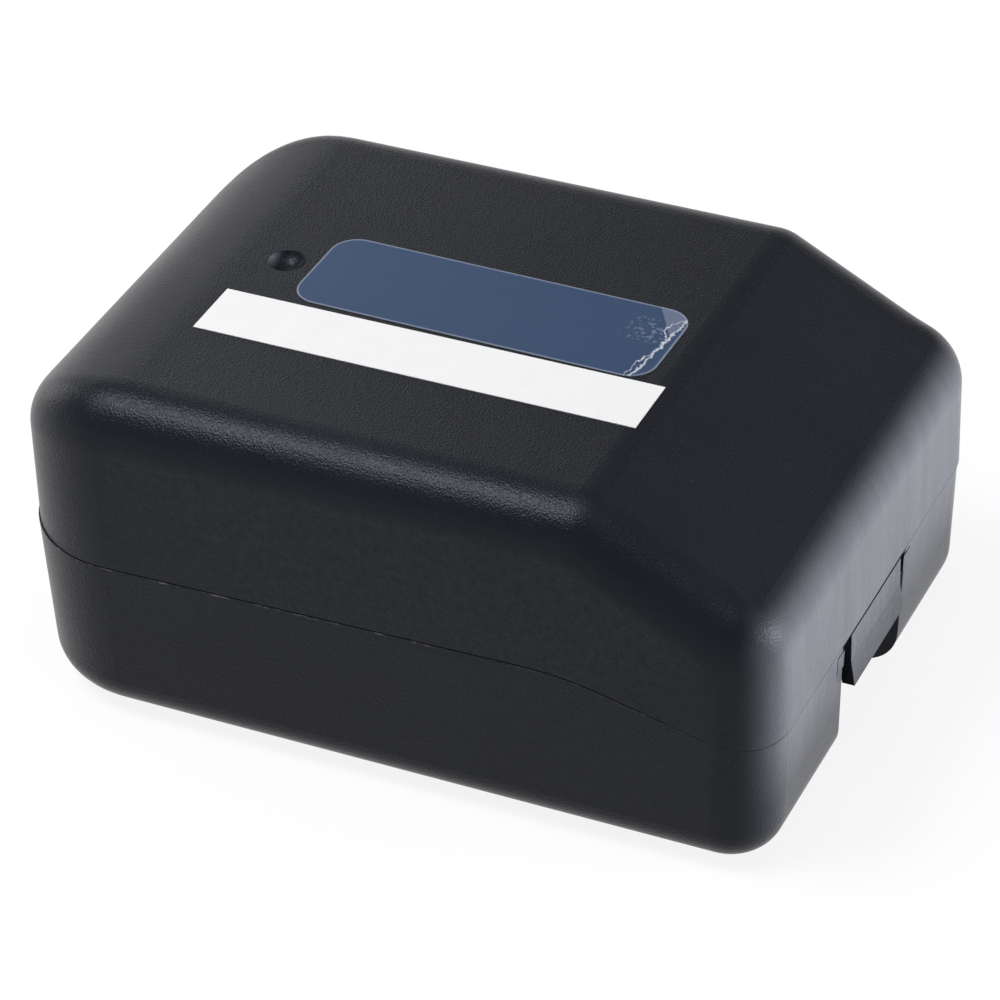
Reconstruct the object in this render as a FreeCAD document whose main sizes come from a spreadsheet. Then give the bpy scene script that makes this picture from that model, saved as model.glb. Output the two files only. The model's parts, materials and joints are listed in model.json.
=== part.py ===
"""Pocket fibre cleaver: a clamshell casing with a scribing mechanism inside.

Frame: X runs from the hinged rear (-) to the latched nose (+), Y across the width, Z up.
The origin is the centre of the plane that the rubber feet stand on.  Lengths are millimetres.
The fibre lies along Y at (fibre_x, fibre_z).  The blade passes under it along X, the clamp arm
holds it from above, and the anvil button bends it until it parts.
"""
import FreeCAD, Part
import math
import os
import re

import Sketcher
from FreeCAD import Placement, Rotation, Vector

DIMENSIONS = {
    "casing": dict(
        half_length=50.0, half_width=35.4, underside=0.6, case_top=46.6,
        plan_rear=14.7, plan_front=7.4, rear_ledge=0.25,
        seam_rear=22.8, seam_kink=24.2, seam_nose=18.5, kink_x=24.4, nose_x=48.0,
        seam_gap=0.15, seam_round=40.0,
        crease_x=26.3, brow_z=34.0, crease_round=6.0,
        rear_sweep=20.0, rear_reach=3.0, rim_round=6.7,
        base_wall=2.2, base_floor=2.2, base_round=5.0, base_taper=2.5, cover_wall=2.0,
    ),
    "labels": dict(
        dimple_x=-27.5, dimple_y=1.45, dimple_radius=2.65, dimple_depth=1.45,
        plate_x=-0.15, plate_y=1.3, plate_length=47.1, plate_width=15.2, plate_corner=3.4,
        plate_thick=0.1, plate_turn=-0.8,
        strip_x=-2.7, strip_y=-11.5, strip_length=57.2, strip_width=9.0, strip_thick=0.1,
    ),
    "notch": dict(
        notch_depth=10.0, notch_half=9.9, notch_lip=1.6, cheek=3.2, notch_wall=2.2,
        slot_low=14.9, slot_tall=2.6, slot_half=12.3,
    ),
    "latch": dict(
        latch_x=48.2, latch_z=16.2, latch_pin_radius=1.0, latch_half=8.35, latch_top=18.35,
        latch_lip_z=11.0, latch_lean=0.5, latch_bend=14.6, latch_skin=1.6, hook_half=4.0,
        hook_x=44.0, hook_thick=1.8, barb_z=21.8, barb_top=24.0, barb_reach=46.1,
        catch_z=20.8, catch_thick=0.8, catch_top=26.0, catch_lip_x=46.3, catch_half=10.0,
        catch_screw_y=8.0, catch_screw_z=24.2, latch_spring_z=18.4, latch_coil=1.25, latch_wire=0.22,
    ),
    "hinge": dict(
        hinge_x=-49.2, hinge_z=22.8, hinge_pin_radius=1.0, knuckle_radius=2.4,
        knuckle_air=0.3, knuckle_gap=0.2, knuckle_end=19.2, knuckle_outer=12.2, knuckle_inner=3.5,
        rebate_half=26.0, rebate_deep=1.3,
    ),
    "feet": dict(foot_radius=4.1, foot_thick=1.6, foot_air=0.1, foot_x=33.0, foot_y=21.5),
    "deck": dict(
        deck_low=17.0, deck_thick=3.0, deck_rear=-40.0, deck_front=36.0, deck_half=31.0,
        deck_corner=8.0, slot_rear=-29.5, slot_front=31.5, slot_wide=12.4,
        bay_rear=-22.0, bay_front=6.0, bay_y=18.5,
        boss_radius=3.4, boss_rear=-35.5, boss_front=31.5, boss_y=25.0, thread_radius=1.25,
    ),
    "rails": dict(
        rod_radius=1.5, rod_y=10.0, rod_z=11.0, rod_air=0.05, rail_thick=4.0, rail_half=16.0,
        rail_low=7.0, rail_front=32.0, rail_rear=-38.0, rail_screw_y=4.0,
    ),
    "carriage": dict(
        fibre_x=-8.0, fibre_z=28.0, blade_x=5.0, blade_radius=8.0, blade_thick=1.0,
        blade_bevel=0.7, bush_radius=2.5, carriage_half=9.0, carriage_wide=14.0,
        carriage_low=7.5, carriage_top=15.8, sleeve_radius=2.3, sleeve_length=4.0,
        post_near=1.3, post_far=5.3, post_half=4.0, post_top=23.2, arm_half=4.5,
        arm_front=31.9, arm_low=12.0, knob_x=27.0, knob_half=3.0, knob_wide=4.0, knob_top=31.0,
        well_half=7.4, well_wide=1.0, spring_coil=2.2, spring_wire=0.25, spring_turns=10.0,
    ),
    "saddle": dict(
        saddle_rear=-20.0, saddle_front=-1.5, saddle_top=27.0, saddle_outer=17.0,
        saddle_inner=1.5, saddle_step=6.6, saddle_under=23.8,
        pad_half=3.0, pad_near=2.2, pad_far=8.2, pad_seat=25.5,
        ear_x=-17.5, ear_z=30.2, ear_radius=3.2, ear_inner=13.0,
        strike_x=-7.0, strike_y=10.8, strike_radius=1.6, strike_top=28.2, saddle_screw_y=14.5,
        saddle_screw_front=-4.5, saddle_screw_rear=-11.0,
    ),
    "clamp": dict(
        clamp_half=12.6, clamp_low=29.2, clamp_top=33.2, clamp_tip=-4.5, clamp_pin=1.25,
        upper_pad_low=28.3, upper_pad_top=30.4, magnet_radius=1.5, magnet_low=28.35, magnet_top=31.2,
        anvil_radius=1.95, anvil_foot_x=2.0, anvil_foot_y=1.2, anvil_low=28.6, anvil_foot_top=29.1,
        button_low=34.9, button_top=36.6, button_radius=2.8, well_radius=3.1, well_floor=31.2,
        barrel_radius=2.0,
    ),
    "guide": dict(
        guide_rear=-18.5, guide_front=2.0, guide_near=-31.0, guide_far=-18.5, groove_wide=0.8,
        groove_deep=0.5, lid_tip=-5.4, lid_low=28.3, lid_top=30.3, lid_near=-28.9, lid_far=-20.7,
        lid_ear=2.0, lid_ear_x=-16.5, lid_ear_z=30.2, lid_ear_radius=1.9, lid_pin=0.8,
        scale_x=-3.8, scale_wide=4.6, scale_thick=0.3, guide_screw_x=-0.2,
    ),
    "bin": dict(
        bin_rear=-21.5, bin_front=5.5, bin_near=19.0, bin_far=31.0, bin_low=7.0, bin_top=26.0,
        bin_wall=1.2, bin_lug=1.6, bin_lug_thick=1.2, bin_lid_thick=1.3, bin_lid_gap=0.2,
        bin_hinge_y=30.9, bin_hinge_z=27.2, bin_hinge_radius=1.4, bin_pin=0.6,
    ),
    "fasteners": dict(
        head_radius=2.2, head_tall=1.3, cross_wide=0.7, cross_long=2.6, cross_deep=0.8,
        shank_radius=1.2, small_head=1.6, small_shank=0.8,
    ),
}
WORDS = {name for group in DIMENSIONS.values() for name in group}

doc = FreeCAD.newDocument("FibreCleaver")
sheet = doc.addObject("Spreadsheet::Sheet", "dims")
pieces = []


def fill_sheet():
    """Write every driving dimension into the sheet, one row each, with its alias."""
    row = 0
    for group, values in DIMENSIONS.items():
        row += 1
        sheet.set(f"A{row}", group)
        for name, value in values.items():
            row += 1
            sheet.set(f"A{row}", name)
            sheet.set(f"B{row}", str(value))
            sheet.setAlias(f"B{row}", name)
    doc.recompute()


def formula(text):
    """Turn a formula over dimension names into one over the sheet's cells."""
    return re.sub(r"[a-z_]+", lambda word: "dims." + word.group() if word.group() in WORDS else word.group(),
                  str(text))


def number(text):
    """The value of a formula now."""
    return float(sheet.evalExpression(formula(text)))


def bind(obj, **properties):
    for name, text in properties.items():
        obj.setExpression(name, formula(text))


def place(obj, at, turn=None):
    """Put an object at three formulas, turned as asked."""
    obj.Placement = Placement(Vector(*[number(text) for text in at]), turn or Rotation())
    for axis, text in zip("xyz", at):
        obj.setExpression(f"Placement.Base.{axis}", formula(text))
    return obj


ALONG_X = Rotation(Vector(0, 1, 0), 90)
ALONG_Y = Rotation(Vector(1, 0, 0), -90)
FLIPPED_X = Rotation(Vector(0, 1, 0), -90)
FLIPPED_Y = Rotation(Vector(1, 0, 0), 90)


# ---- primitives and booleans ------------------------------------------------------------------

def box(name, low, high):
    """A box between two corners given as formulas."""
    obj = doc.addObject("Part::Box", name)
    sizes = [f"({b}) - ({a})" for a, b in zip(low, high)]
    bind(obj, Length=sizes[0], Width=sizes[1], Height=sizes[2])
    return place(obj, low)


def rod(name, radius, length, at, turn=None):
    obj = doc.addObject("Part::Cylinder", name)
    bind(obj, Radius=radius, Height=length)
    return place(obj, at, turn)


def fuse(name, shapes):
    obj = doc.addObject("Part::MultiFuse", name)
    obj.Shapes = shapes
    obj.Refine = True
    return obj


def cut(name, base, tools):
    obj = doc.addObject("Part::Cut", name)
    obj.Base = base
    obj.Tool = tools[0] if len(tools) == 1 else fuse(name + "_tools", tools)
    obj.Refine = True
    return obj


def common(name, first, second):
    obj = doc.addObject("Part::MultiCommon", name)
    obj.Shapes = [first, second]
    return obj


def group(name, template, spots, turns=None):
    """Copies of one template, kept as separate solids of one sub-part."""
    links = []
    for index, spot in enumerate(spots):
        link = doc.addObject("App::Link", f"{name}_{index + 1}")
        link.LinkedObject = template
        links.append(place(link, spot, turns[index] if turns else template.Placement.Rotation))
    obj = doc.addObject("Part::Compound", name)
    obj.Links = links
    return obj


def keep(label, obj):
    """Name a finished sub-part."""
    obj.Label = label
    pieces.append(obj)
    return obj


# ---- sketches and bodies ----------------------------------------------------------------------

def new_body(name):
    return doc.addObject("PartDesign::Body", name)


def new_sketch(body, role, offset="0"):
    """A sketch on one of the body's own origin planes, moved along its normal."""
    plane = next(item for item in body.Origin.OriginFeatures if item.Role == role)
    sketch = body.newObject("Sketcher::SketchObject", body.Name + "_sketch")
    sketch.AttachmentSupport = [(plane, "")]
    sketch.MapMode = "FlatFace"
    sketch.setExpression("AttachmentOffset.Base.z", formula(offset))
    return sketch


def pin_point(sketch, index, end, x, y):
    """Fix one point of a sketch with two driven distances from the sketch's origin."""
    for kind, text in (("DistanceX", x), ("DistanceY", y)):
        constraint = sketch.addConstraint(Sketcher.Constraint(kind, -1, 1, index, end, number(text)))
        sketch.setExpression(f"Constraints[{constraint}]", formula(text))


def polygon(sketch, points):
    """A closed outline whose corners are pairs of formulas."""
    corners = [Vector(number(x), number(y), 0) for x, y in points]
    first = sketch.GeometryCount
    count = len(corners)
    for index in range(count):
        sketch.addGeometry(Part.LineSegment(corners[index], corners[(index + 1) % count]))
    for index in range(count):
        before = first + (index - 1) % count
        sketch.addConstraint(Sketcher.Constraint("Coincident", before, 2, first + index, 1))
        pin_point(sketch, first + index, 1, *points[index])


def rectangle(sketch, low, high):
    polygon(sketch, [low, (high[0], low[1]), high, (low[0], high[1])])


def circle(sketch, x, y, radius):
    index = sketch.addGeometry(Part.Circle(Vector(number(x), number(y), 0), Vector(0, 0, 1), number(radius)))
    pin_point(sketch, index, 3, x, y)
    constraint = sketch.addConstraint(Sketcher.Constraint("Radius", index, number(radius)))
    sketch.setExpression(f"Constraints[{constraint}]", formula(radius))


def plan_outline(sketch, rear, front, half, rear_radius, front_radius):
    """The casing's plan: a rectangle with large rear corners and small front ones."""
    x_rear, x_front, y_half = number(rear), number(front), number(half)
    big, small = number(rear_radius), number(front_radius)
    centres = [
        (x_front - small, -y_half + small, small, -90), (x_front - small, y_half - small, small, 0),
        (x_rear + big, y_half - big, big, 90), (x_rear + big, -y_half + big, big, 180),
    ]
    arcs = []
    for x, y, radius, start in centres:
        ring = Part.Circle(Vector(x, y, 0), Vector(0, 0, 1), radius)
        angle = math.radians(start)
        quarter = math.radians(90)
        arcs.append(sketch.addGeometry(Part.ArcOfCircle(ring, angle, angle + quarter)))
    sides = []
    for index, arc in enumerate(arcs):
        after = arcs[(index + 1) % 4]
        start, end = sketch.getPoint(arc, 2), sketch.getPoint(after, 1)
        sides.append(sketch.addGeometry(Part.LineSegment(start, end)))
    for index, side in enumerate(sides):
        sketch.addConstraint(Sketcher.Constraint("Tangent", arcs[index], 2, side, 1))
        sketch.addConstraint(Sketcher.Constraint("Tangent", side, 2, arcs[(index + 1) % 4], 1))
    driven = [
        ("Radius", (arcs[0],), front_radius), ("Radius", (arcs[1],), front_radius),
        ("Radius", (arcs[2],), rear_radius), ("Radius", (arcs[3],), rear_radius),
        ("DistanceX", (-1, 1, sides[0], 1), front), ("DistanceY", (-1, 1, sides[1], 1), half),
        ("DistanceX", (-1, 1, sides[2], 1), rear), ("DistanceY", (-1, 1, sides[3], 1), f"-({half})"),
    ]
    for kind, where, text in driven:
        constraint = sketch.addConstraint(Sketcher.Constraint(kind, *where, number(text)))
        sketch.setExpression(f"Constraints[{constraint}]", formula(text))


def pad(body, sketch, length, backwards=False, centred=False, taper=None):
    feature = body.newObject("PartDesign::Pad", body.Name + "_pad")
    feature.Profile = sketch
    feature.Reversed = backwards
    feature.Midplane = centred
    bind(feature, Length=length)
    if taper:
        bind(feature, TaperAngle=taper)
    return feature


def pocket(body, sketch, length, backwards=False):
    feature = body.newObject("PartDesign::Pocket", body.Name + "_pocket")
    feature.Profile = sketch
    feature.Reversed = backwards
    bind(feature, Length=length)
    return feature


def turned(name, profile):
    """A body turned about its own Z axis from a half profile of (radius, height) formulas."""
    body = new_body(name)
    sketch = new_sketch(body, "XZ_Plane")
    polygon(sketch, profile)
    feature = body.newObject("PartDesign::Revolution", name + "_turn")
    feature.Profile = sketch
    feature.ReferenceAxis = (sketch, ["V_Axis"])
    feature.Angle = 360
    return body


def prism(name, outline, start, stop, role="XZ_Plane"):
    """An outline pulled between two distances along the normal of an origin plane.

    The XZ plane's normal is -Y, so start and stop are distances along Y there.
    """
    body = new_body(name)
    if role == "XZ_Plane":
        sketch = new_sketch(body, role, f"-({stop})")
    else:
        sketch = new_sketch(body, role, start)
    polygon(sketch, outline)
    pad(body, sketch, f"({stop}) - ({start})")
    return body


def screw(name, length, head="head_radius", shank="shank_radius"):
    """A pan head screw: the head stands on the body's origin plane and the shank points down."""
    body = turned(name, [("0", f"-({length})"), (shank, f"-({length})"), (shank, "0"), (head, "0"),
                         (head, "head_tall * 0.6"), (f"{head} * 0.75", "head_tall"), ("0", "head_tall")])
    cross = new_sketch(body, "XY_Plane", "head_tall")
    arm, reach = f"cross_wide / 2 * ({head}) / head_radius", f"cross_long / 2 * ({head}) / head_radius"
    polygon(cross, [(arm, f"-({arm})"), (reach, f"-({arm})"), (reach, arm), (arm, arm), (arm, reach),
                    (f"-({arm})", reach), (f"-({arm})", arm), (f"-({reach})", arm),
                    (f"-({reach})", f"-({arm})"),
                    (f"-({arm})", f"-({arm})"), (f"-({arm})", f"-({reach})"), (arm, f"-({reach})")])
    pocket(body, cross, "cross_deep")
    return body


def coil(name, mean_radius, wire_radius, length, turns, at, turn=None):
    """A compression spring along Z from its own origin, then turned and placed."""
    helix = doc.addObject("Part::Helix", name + "_path")
    bind(helix, Radius=mean_radius, Height=f"({length}) - 2 * ({wire_radius})",
         Pitch=f"(({length}) - 2 * ({wire_radius})) / ({turns})")
    wire = doc.addObject("Part::Circle", name + "_wire")
    bind(wire, Radius=wire_radius)
    wire.Placement = Placement(Vector(number(mean_radius), 0, 0), Rotation(Vector(1, 0, 0), 90))
    sweep = doc.addObject("Part::Sweep", name)
    sweep.Sections = [wire]
    sweep.Spine = (helix, [])
    sweep.Solid = True
    sweep.Frenet = True
    return place(sweep, at, turn)


# ---- casing -----------------------------------------------------------------------------------

def hood(name, inset):
    """The cover's outer form at inset 0, and its hollow at the wall's thickness.

    The side profile has a wide sweep down to the rear and a sharp crease at the slope; the plan
    trims it, and one fillet runs round the whole rim.
    """
    rear, crease = f"-half_length - rear_reach + {inset}", f"crease_x - 0.25 * {inset}"
    top, slope = f"case_top - {inset}", "(case_top - brow_z) / (half_length - crease_x)"
    plan = new_body(name + "_plan")
    sketch = new_sketch(plan, "XY_Plane", "seam_nose - 3")
    plan_outline(sketch, f"rear_ledge - half_length + {inset}", f"half_length - {inset}",
                 f"half_width - {inset}", f"plan_rear - {inset}", f"plan_front - {inset}")
    pad(plan, sketch, f"case_top - seam_nose + 3 - {inset}")
    side = prism(name + "_side", [
        (rear, "seam_nose - 5"), ("half_length + 5", "seam_nose - 5"),
        ("half_length + 5", f"{top} - (half_length + 5 - {crease}) * {slope}"), (crease, top), (rear, top),
    ], "-half_width - 5", "half_width + 5")
    doc.recompute()
    swept = round_edges(name + "_swept", side, [
        (number(crease), number("crease_round"), number(top)),
        (number(rear), number("rear_sweep") - number(inset), number(top))])
    block = common(name + "_block", plan, swept)
    doc.recompute()
    rounded = doc.addObject("Part::Fillet", name)
    rounded.Base = block
    rounded.Edges = [(index, number(f"rim_round - {inset}"), number(f"rim_round - {inset}"))
                     for index in rim_edges(block.Shape, number(inset))]
    return rounded


def round_edges(name, base, wanted):
    """Round edges that run along Y, each found by its x and z."""
    rounded = doc.addObject("Part::Fillet", name)
    rounded.Base = base
    rounded.Edges = [(index, radius, radius) for index, edge in enumerate(base.Shape.Edges, 1)
                     for x, radius, z in wanted
                     if edge.BoundBox.YLength > 10 and abs(edge.CenterOfMass.x - x) < 0.01
                     and abs(edge.CenterOfMass.z - z) < 0.01]
    return rounded


def rim_edges(shape, inset):
    """The edges where the roof meets the walls, found by where their middles lie."""
    rear, front = number("rear_ledge - half_length") + inset, number("half_length") - inset
    half = number("half_width") - inset
    big, small = number("plan_rear") - inset, number("plan_front") - inset
    rim = []
    for index, edge in enumerate(shape.Edges, 1):
        middle = edge.valueAt((edge.FirstParameter + edge.LastParameter) / 2)
        on_wall = (abs(abs(middle.y) - half) < 0.01 or abs(middle.x - rear) < 0.01
                   or abs(middle.x - front) < 0.01
                   or (middle.x < rear + big and abs(middle.y) > half - big)
                   or (middle.x > front - small and abs(middle.y) > half - small))
        upright = edge.BoundBox.ZLength > 3 and edge.BoundBox.XLength < 0.1 and edge.BoundBox.YLength < 0.1
        if on_wall and not upright and middle.z > number("seam_kink") + 2:
            rim.append(index)
    return rim


def above_seam(name, lift):
    """Everything above the parting surface, raised by a formula."""
    run = "(seam_kink - seam_rear) / (kink_x + half_length)"
    body = prism(name + "_form", [
        ("-half_length - 5", f"seam_rear - 5 * {run} + {lift}"), ("kink_x", f"seam_kink + {lift}"),
        ("nose_x", f"seam_nose + {lift}"), ("half_length + 5", f"seam_nose + {lift}"),
        ("half_length + 5", "case_top + 5"), ("-half_length - 5", "case_top + 5"),
    ], "-half_width - 5", "half_width + 5")
    doc.recompute()
    return round_edges(name, body, [(number("kink_x"), number("seam_round"), number(f"seam_kink + {lift}"))])


def tub(name, inset, floor, rounding):
    """The base's outer form, or its hollow: tapered down from the seam, with rounded bottom edges."""
    body = new_body(name)
    sketch = new_sketch(body, "XY_Plane", "seam_rear")
    plan_outline(sketch, f"-half_length + {inset}", f"half_length - {inset}", f"half_width - {inset}",
                 f"plan_rear - {inset}", f"plan_front - {inset}")
    pad(body, sketch, f"seam_rear - ({floor})", backwards=True, taper="-base_taper")
    rim = new_sketch(body, "XY_Plane", "seam_rear")
    plan_outline(rim, f"-half_length + {inset}", f"half_length - {inset}", f"half_width - {inset}",
                 f"plan_rear - {inset}", f"plan_front - {inset}")
    upper = pad(body, rim, "3")
    doc.recompute()
    bottom = [f"Edge{index}" for index, edge in enumerate(upper.Shape.Edges, 1)
              if edge.BoundBox.ZMax < number(floor) + 0.1]
    fillet = body.newObject("PartDesign::Fillet", name + "_round")
    fillet.Base = (upper, bottom)
    bind(fillet, Radius=rounding)
    body.Tip = fillet
    return body


def knuckle_row(name, spans, radius):
    """Cylinders about the hinge axis, one for each (start, stop) along Y."""
    return [rod(f"{name}_{index}", radius, f"({stop}) - ({start})", ("hinge_x", start, "hinge_z"), ALONG_Y)
            for index, (start, stop) in enumerate(spans)]


BASE_KNUCKLES = [("-knuckle_end", "-knuckle_outer"), ("-knuckle_inner", "knuckle_inner"),
                 ("knuckle_outer", "knuckle_end")]
COVER_KNUCKLES = [("-knuckle_outer + knuckle_gap", "-knuckle_inner - knuckle_gap"),
                  ("knuckle_inner + knuckle_gap", "knuckle_outer - knuckle_gap")]


def cleared(spans):
    """The same spans with the gap to the neighbouring knuckles added."""
    return [(f"{start} - knuckle_gap", f"{stop} + knuckle_gap") for start, stop in spans]


def notch_form():
    """The finger notch in the base's nose, with rounded mouth edges."""
    body = new_body("notch_form")
    sketch = new_sketch(body, "XY_Plane", "underside - 1")
    polygon(sketch, [("half_length - notch_depth", "-notch_half"), ("half_length + 2", "-notch_half"),
                     ("half_length + 2", "notch_half"), ("half_length - notch_depth", "notch_half")])
    pad(body, sketch, "case_top")
    mouths = []
    for side in "+-":
        low, high = sorted(("notch_half - 0.1", "notch_half + notch_lip") if side == "+" else
                           ("-notch_half - notch_lip", "-notch_half + 0.1"), key=number)
        corner = box(f"mouth_box_{side}", ("half_length - notch_lip", low, "underside - 1"),
                     ("half_length + 2", high, "case_top"))
        round_form = rod(f"mouth_round_{side}", "notch_lip", "case_top",
                         ("half_length - notch_lip", f"{side} (notch_half + notch_lip)", "underside - 2"))
        mouths.append(cut(f"mouth_{side}", corner, [round_form]))
    return fuse("notch_flared", [body] + mouths)


def base_housing():
    outer = tub("tub_outer", "0", "underside", "base_round")
    hollow = tub("tub_hollow", "base_wall", "underside + base_floor", "base_round - base_wall")
    shell = cut("tub_shell", outer, [hollow])
    well = [
        box("notch_back", ("half_length - notch_depth - notch_wall", "-notch_half - cheek", "underside + 1"),
            ("half_length - notch_depth", "notch_half + cheek", "seam_kink")),
        box("cheek_near", ("half_length - notch_depth - 0.1", "-notch_half - cheek", "underside + 1"),
            ("half_length - 1.2", "-notch_half", "seam_kink")),
        box("cheek_far", ("half_length - notch_depth - 0.1", "notch_half", "underside + 1"),
            ("half_length - 1.2", "notch_half + cheek", "seam_kink")),
    ]
    bosses = [rod(f"boss_{x}_{side}", "boss_radius", "deck_low - underside - 1",
                  (x, f"{side} boss_y", "underside + 1"))
              for x in ("boss_rear", "boss_front") for side in "+-"]
    inside = common("well_inside", fuse("well", well + bosses), outer)
    solid = fuse("tub_solid", [shell, inside])
    holes = [rod(f"thread_{x}_{side}", "thread_radius", "9", (x, f"{side} boss_y", "deck_low - 8"))
             for x in ("boss_rear", "boss_front") for side in "+-"]
    seats = [rod(f"seat_{x}_{side}", "foot_radius + foot_air", "foot_thick",
                 (f"{x} foot_x", f"{side} foot_y", "0")) for x in "+-" for side in "+-"]
    slots = [
        box("pin_slot", ("latch_x - latch_pin_radius - 0.05", "-slot_half", "slot_low"),
            ("half_length + 1", "slot_half", "slot_low + slot_tall")),
    ]
    rebate = box("hinge_rebate", ("-half_length - 1", "-rebate_half", "hinge_z - rebate_deep"),
                 ("hinge_x + 0.3", "rebate_half", "seam_kink"))
    clearance = knuckle_row("base_relief", cleared(COVER_KNUCKLES), "knuckle_radius + knuckle_air")
    trimmed = cut("tub_trimmed", solid, [above_seam("base_seam", "0"), notch_form(), rebate]
                  + holes + seats + slots + clearance)
    joined = fuse("tub_joined", [trimmed] + knuckle_row("base_knuckle", BASE_KNUCKLES, "knuckle_radius"))
    bore = rod("base_bore", "hinge_pin_radius + 0.01", "2 * knuckle_end + 2",
               ("hinge_x", "-knuckle_end - 1", "hinge_z"), ALONG_Y)
    return keep("base_housing", cut("base_housing", joined, [bore]))


def cover_housing():
    outer = common("hood_outer_part", hood("hood_outer", "0"), above_seam("cover_seam", "seam_gap"))
    dimple = doc.addObject("Part::Sphere", "dimple_ball")
    bind(dimple, Radius="dimple_radius")
    place(dimple, ("dimple_x", "dimple_y", "case_top + dimple_radius - dimple_depth"))
    clearance = knuckle_row("cover_relief", cleared(BASE_KNUCKLES), "knuckle_radius + knuckle_air")
    holes = [rod(f"catch_hole_{side}", "small_shank - 0.15", "1.5",
                 ("half_length - cover_wall - 0.1", f"{side} catch_screw_y", "catch_screw_z"), ALONG_X)
             for side in "+-"]
    shell = cut("hood_shell", outer, [hood("hood_hollow", "cover_wall"), dimple] + clearance + holes)
    joined = fuse("hood_joined", [shell] + knuckle_row("cover_knuckle", COVER_KNUCKLES, "knuckle_radius"))
    bore = rod("cover_bore", "hinge_pin_radius + 0.05", "2 * knuckle_end + 2",
               ("hinge_x", "-knuckle_end - 1", "hinge_z"), ALONG_Y)
    return keep("cover_housing", cut("cover_housing", joined, [bore]))


def labels():
    """A round-cornered film and a square-cut strip, both stuck on the flat top."""
    body = new_body("name_label")
    sketch = new_sketch(body, "XY_Plane")
    plan_outline(sketch, "-plate_length / 2", "plate_length / 2", "plate_width / 2",
                 "plate_corner", "plate_corner")
    pad(body, sketch, "plate_thick")
    keep("name_label", place(body, ("plate_x", "plate_y", "case_top"),
                             Rotation(Vector(0, 0, 1), number("plate_turn"))))
    keep("strip_label", box("strip_label",
                            ("strip_x - strip_length / 2", "strip_y - strip_width / 2", "case_top"),
                            ("strip_x + strip_length / 2", "strip_y + strip_width / 2",
                             "case_top + strip_thick")))


def feet():
    foot = turned("foot", [("0", "0"), ("foot_radius - 0.4", "0"), ("foot_radius", "0.4"),
                           ("foot_radius", "foot_thick"), ("0", "foot_thick")])
    spots = [(f"{x} foot_x", f"{y} foot_y", "0") for x in "+-" for y in "+-"]
    keep("rubber_feet", group("rubber_feet", foot, spots))


def hinge_pin():
    keep("cover_hinge_pin", rod("cover_hinge_pin", "hinge_pin_radius", "2 * knuckle_end",
                                ("hinge_x", "-knuckle_end", "hinge_z"), ALONG_Y))


# ---- latch ------------------------------------------------------------------------------------

def latch():
    face = [
        ("half_length - latch_skin", "latch_top"), ("half_length - latch_skin", "latch_bend"),
        ("half_length - latch_skin + latch_lean", "latch_lip_z"),
        ("half_length + latch_lean", "latch_lip_z"),
        ("half_length", "latch_bend"), ("half_length", "latch_top"),
    ]
    tongue = prism("latch_tongue", face, "-latch_half", "latch_half")
    web = box("latch_web", ("hook_x", "-hook_half - 2", "latch_z - 1.6"),
              ("half_length - latch_skin + 0.1", "hook_half + 2", "latch_z + 1.2"))
    hook = prism("latch_hook", [
        ("hook_x", "latch_z - 1.6"), ("hook_x + hook_thick", "latch_z - 1.6"),
        ("hook_x + hook_thick", "barb_z"),
        ("barb_reach", "barb_z"), ("barb_reach", "barb_z + 0.5"), ("hook_x + 0.9", "barb_top"),
        ("hook_x", "barb_top"),
    ], "-hook_half", "hook_half")
    barrel = rod("latch_barrel", "1.75", "2 * latch_half", ("latch_x", "-latch_half", "latch_z"), ALONG_Y)
    bore = rod("latch_bore", "latch_pin_radius + 0.05", "2 * latch_half + 2",
               ("latch_x", "-latch_half - 1", "latch_z"), ALONG_Y)
    spigot = rod("latch_spigot", "0.8", "1", ("hook_x - 0.9", "0", "latch_spring_z"), ALONG_X)
    lever = fuse("latch_solid", [tongue, web, hook, barrel, spigot])
    keep("latch_lever", cut("latch_lever", lever, [bore]))
    keep("latch_pin", rod("latch_pin", "latch_pin_radius", "2 * slot_half - 0.2",
                          ("latch_x", "-slot_half + 0.1", "latch_z"), ALONG_Y))
    keep("latch_spring", coil("latch_spring", "latch_coil", "latch_wire",
                              "hook_x - half_length + notch_depth - 0.1", "4",
                              ("half_length - notch_depth + 0.25", "0", "latch_spring_z"), ALONG_X))


def pin_retainers():
    """Blocks pushed into the slot mouths, flush with the nose, that keep the latch pin in."""
    block = new_body("retainer_block")
    sketch = new_sketch(block, "XZ_Plane")
    polygon(sketch, [("0", "0.12"), ("half_length - latch_x - latch_pin_radius - 0.35", "0.12"),
                     ("half_length - latch_x - latch_pin_radius - 0.25", "slot_tall - 0.12"),
                     ("0", "slot_tall - 0.12")])
    pad(block, sketch, "slot_half - notch_half - 0.35", backwards=True)
    spots = [("latch_x + latch_pin_radius + 0.05", y, "slot_low")
             for y in ("-slot_half + 0.12", "notch_half + 0.23")]
    keep("pin_retainers", group("pin_retainers", block, spots))


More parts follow.
